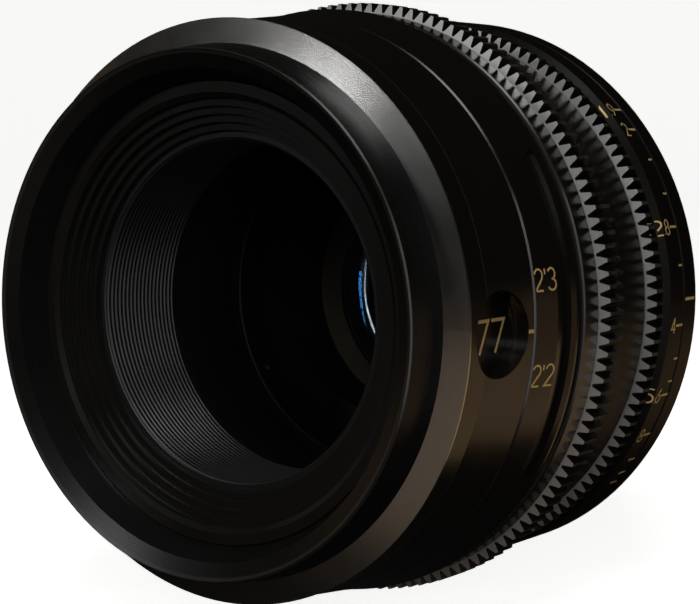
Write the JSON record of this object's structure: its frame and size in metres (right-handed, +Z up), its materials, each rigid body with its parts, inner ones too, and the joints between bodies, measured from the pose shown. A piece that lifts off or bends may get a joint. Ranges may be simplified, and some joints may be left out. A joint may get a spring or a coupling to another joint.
{
  "type": "cinema prime lens",
  "caption": "Cinema prime lens with a deep hooded front, geared focus and iris rings, a sliding optical block with an iris, and a four-lug rear mount.",
  "frame": {"origin": "centre of the rear flange face, on the optical axis", "axes": "+Y along the optical axis towards the camera, so the front faces -Y; +Z up as the lens sits on a camera"},
  "size_m": [0.12, 0.142, 0.12],
  "materials": {
    "barrel_black": "satin black anodised",
    "band_black": "matt black anodised",
    "bevel_silver": "fine-turned satin, clear anodised",
    "inner_black": "flat black, light absorbing",
    "gear_black": "satin black anodised, cut teeth",
    "brass": "turned",
    "steel": "ground",
    "ring_brown": "satin dark brown",
    "coated_glass": "polished, multi-coated",
    "blade_black": "matt black sheet steel"
  },
  "bodies": {
    "housing": {"front_ring": "band_black", "filter_ring": "inner_black", "baffle_tube": "inner_black", "bevel_ring": "bevel_silver", "front_barrel": "barrel_black", "number_plate": "inner_black", "guide_tube": "inner_black", "focus_stop_ring": "brass", "front_glide_ring": "brass", "sleeve_retainer": "inner_black", "centre_barrel": "barrel_black", "rear_barrel": "barrel_black", "mount_shim": "brass", "rear_mount": "steel", "mount_screws": "steel", "rear_mask": "inner_black"},
    "focus_ring": {"focus_ring": "barrel_black", "focus_gear": "gear_black", "cam_sleeve": "brass", "focus_drive_screws": "steel", "focus_stop_pin": "steel"},
    "iris_ring": {"iris_ring": "barrel_black", "iris_gear": "gear_black", "iris_drive_pin": "steel"},
    "optical_block": {"block_barrel": "inner_black", "cam_rollers": "brass", "roller_screws": "steel", "front_cell": "inner_black", "front_retaining_ring": "ring_brown", "element_1": "coated_glass", "element_2": "coated_glass", "element_3": "coated_glass", "front_spacer": "inner_black", "inner_retaining_ring": "inner_black", "iris_cam_plate": "steel", "rear_cell": "inner_black", "element_4": "coated_glass", "element_5": "coated_glass", "element_6": "coated_glass", "element_7": "coated_glass", "rear_spacer_1": "inner_black", "rear_spacer_2": "inner_black", "rear_retaining_ring": "inner_black"},
    "iris_rotor": {"iris_rotor": "steel"},
    "blade_1": {"iris_blade_1": "blade_black"},
    "blade_2": {"iris_blade_2": "blade_black"},
    "blade_3": {"iris_blade_3": "blade_black"},
    "blade_4": {"iris_blade_4": "blade_black"},
    "blade_5": {"iris_blade_5": "blade_black"},
    "blade_6": {"iris_blade_6": "blade_black"},
    "blade_7": {"iris_blade_7": "blade_black"},
    "blade_8": {"iris_blade_8": "blade_black"},
    "blade_9": {"iris_blade_9": "blade_black"}
  },
  "joints": [
    {"name": "focus_turn", "type": "hinge", "parent": "housing", "child": "focus_ring", "pos_m": [0, -0.07703, 0], "axis": [0, 1, 0], "range_deg": [-20, 270]},
    {"name": "block_slide", "type": "slide", "parent": "housing", "child": "optical_block", "axis": [0, 1, 0], "range_m": [-0.00081, 0.01081]},
    {"name": "iris_turn", "type": "hinge", "parent": "housing", "child": "iris_ring", "pos_m": [0, -0.04503, 0], "axis": [0, 1, 0], "range_deg": [-41.9, 41.4]},
    {"name": "rotor_turn", "type": "hinge", "parent": "optical_block", "child": "iris_rotor", "pos_m": [0, -0.0281, 0], "axis": [0, 1, 0], "range_deg": [-42, 41.5]},
    {"name": "blade_1_pivot", "type": "hinge", "parent": "iris_rotor", "child": "blade_1", "pos_m": [0.0223, -0.0281, 0], "axis": [0, 1, 0], "range_deg": [-15.6, 15.8]},
    {"name": "blade_2_pivot", "type": "hinge", "parent": "iris_rotor", "child": "blade_2", "pos_m": [0.01708, -0.0281, -0.01433], "axis": [0, 1, 0], "range_deg": [-15.6, 15.8]},
    {"name": "blade_3_pivot", "type": "hinge", "parent": "iris_rotor", "child": "blade_3", "pos_m": [0.00387, -0.0281, -0.02196], "axis": [0, 1, 0], "range_deg": [-15.6, 15.8]},
    {"name": "blade_4_pivot", "type": "hinge", "parent": "iris_rotor", "child": "blade_4", "pos_m": [-0.01115, -0.0281, -0.01931], "axis": [0, 1, 0], "range_deg": [-15.6, 15.8]},
    {"name": "blade_5_pivot", "type": "hinge", "parent": "iris_rotor", "child": "blade_5", "pos_m": [-0.02096, -0.0281, -0.00763], "axis": [0, 1, 0], "range_deg": [-15.6, 15.8]},
    {"name": "blade_6_pivot", "type": "hinge", "parent": "iris_rotor", "child": "blade_6", "pos_m": [-0.02096, -0.0281, 0.00763], "axis": [0, 1, 0], "range_deg": [-15.6, 15.8]},
    {"name": "blade_7_pivot", "type": "hinge", "parent": "iris_rotor", "child": "blade_7", "pos_m": [-0.01115, -0.0281, 0.01931], "axis": [0, 1, 0], "range_deg": [-15.6, 15.8]},
    {"name": "blade_8_pivot", "type": "hinge", "parent": "iris_rotor", "child": "blade_8", "pos_m": [0.00387, -0.0281, 0.02196], "axis": [0, 1, 0], "range_deg": [-15.6, 15.8]},
    {"name": "blade_9_pivot", "type": "hinge", "parent": "iris_rotor", "child": "blade_9", "pos_m": [0.01708, -0.0281, 0.01433], "axis": [0, 1, 0], "range_deg": [-15.6, 15.8]}
  ],
  "couplings": [
    {"joint": "block_slide", "follows": "focus_turn", "m_per_rad": 0.0022918},
    {"joint": "rotor_turn", "follows": "iris_turn", "ratio": 1},
    {"joint": "blade_1_pivot", "follows": "iris_turn", "ratio": -0.37475},
    {"joint": "blade_2_pivot", "follows": "iris_turn", "ratio": -0.37475},
    {"joint": "blade_3_pivot", "follows": "iris_turn", "ratio": -0.37475},
    {"joint": "blade_4_pivot", "follows": "iris_turn", "ratio": -0.37475},
    {"joint": "blade_5_pivot", "follows": "iris_turn", "ratio": -0.37475},
    {"joint": "blade_6_pivot", "follows": "iris_turn", "ratio": -0.37475},
    {"joint": "blade_7_pivot", "follows": "iris_turn", "ratio": -0.37475},
    {"joint": "blade_8_pivot", "follows": "iris_turn", "ratio": -0.37475},
    {"joint": "blade_9_pivot", "follows": "iris_turn", "ratio": -0.37475}
  ]
}
